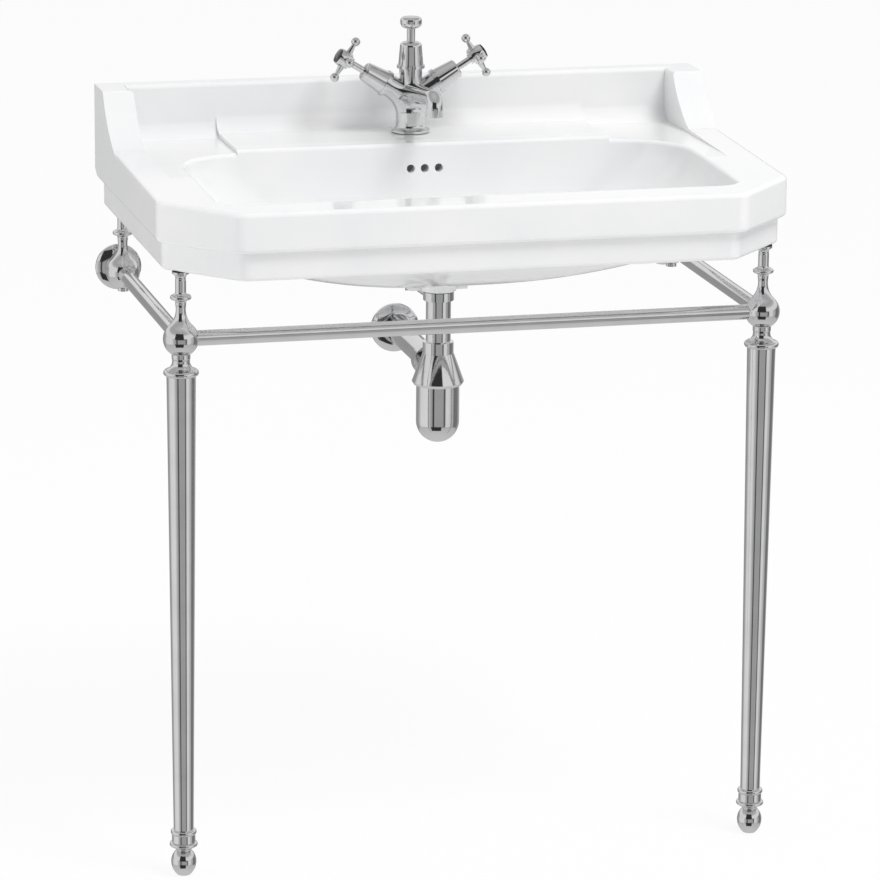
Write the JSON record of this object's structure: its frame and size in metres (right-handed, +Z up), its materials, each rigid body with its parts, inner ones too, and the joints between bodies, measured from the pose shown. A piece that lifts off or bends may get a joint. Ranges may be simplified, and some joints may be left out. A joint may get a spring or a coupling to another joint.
{
  "type": "console washstand",
  "caption": "Glazed console basin with upstand on a turned chrome stand with front legs, carrying a cross-handle mixer tap, a pop-up waste and a bottle trap, fixed to the wall",
  "frame": {"origin": "on the floor under the middle of the bounding box", "axes": "+X to the right seen from the front, the front faces -Y and the wall is the plane y = 0.26 m, +Z up"},
  "size_m": [0.802, 0.52, 1.0174],
  "materials": {
    "glaze": "glossy white glaze",
    "polished": "polished",
    "bare_brass": "machined",
    "plain_steel": "zinc plated",
    "soft_seal": "matt black",
    "dark_inlay": "glossy black"
  },
  "bodies": {
    "washstand": {"basin": "glaze", "front_post_left": "polished", "front_post_right": "polished", "rear_post_left": "polished", "rear_post_right": "polished", "side_rail_left": "polished", "side_rail_right": "polished", "wall_rosette_left": "polished", "wall_rosette_right": "polished", "leg_left": "polished", "leg_right": "polished", "foot_ferrule_left": "polished", "foot_ferrule_right": "polished", "levelling_foot_left": "polished", "levelling_foot_right": "polished", "front_rail": "polished", "tap_body": "polished", "outlet_ring": "polished", "centre_bell": "polished", "waste_flange": "polished", "shroud_hot": "polished", "shroud_cold": "polished", "waste_tube": "polished", "back_nut": "polished", "pivot_port": "polished", "pivot_nut": "polished", "trap_nut": "polished", "trap_cone": "polished", "trap_bottle": "polished", "union_nut": "polished", "outlet_pipe": "polished", "outlet_rosette": "polished", "headwork_hot": "bare_brass", "headwork_cold": "bare_brass", "dip_tube": "bare_brass", "fixing_nut": "bare_brass", "rail_set_screws": "plain_steel", "leg_studs": "plain_steel", "fixing_stud": "plain_steel", "horseshoe_washer": "plain_steel", "seat_pads": "soft_seal", "tap_seal": "soft_seal", "flange_seal": "soft_seal", "body_seal": "soft_seal", "trap_seal": "soft_seal", "flow_insert": "dark_inlay"},
    "hot_handle": {"handle_hot": "polished", "spindle_hot": "polished", "index_cap_hot": "dark_inlay"},
    "cold_handle": {"handle_cold": "polished", "spindle_cold": "polished", "index_cap_cold": "dark_inlay"},
    "lift": {"lift_knob": "polished", "lift_rod": "polished", "rod_strap": "polished", "clamp_screw": "polished"},
    "lever": {"pivot_lever": "polished"},
    "plug_body": {"plug": "polished", "plug_seal": "soft_seal"}
  },
  "joints": [
    {"name": "hot_turn", "type": "hinge", "parent": "washstand", "child": "hot_handle", "pos_m": [0, 0.178, 0.911], "axis": [-0.8526, 0, 0.5225], "range_deg": [0, 90]},
    {"name": "cold_turn", "type": "hinge", "parent": "washstand", "child": "cold_handle", "pos_m": [0, 0.178, 0.911], "axis": [0.8526, 0, 0.5225], "range_deg": [0, 90]},
    {"name": "knob_lift", "type": "slide", "parent": "washstand", "child": "lift", "axis": [0, 0, 1], "range_m": [0, 0.024]},
    {"name": "lever_swing", "type": "hinge", "parent": "washstand", "child": "lever", "pos_m": [0, 0.047, 0.671], "axis": [1, 0, 0], "range_deg": [0, 10.96]},
    {"name": "plug_drop", "type": "slide", "parent": "washstand", "child": "plug_body", "axis": [0, 0, 1], "range_m": [-0.005, 0]}
  ],
  "couplings": [
    {"joint": "lever_swing", "follows": "knob_lift", "rad_per_m": 7.9575},
    {"joint": "plug_drop", "follows": "knob_lift", "ratio": -0.208}
  ]
}
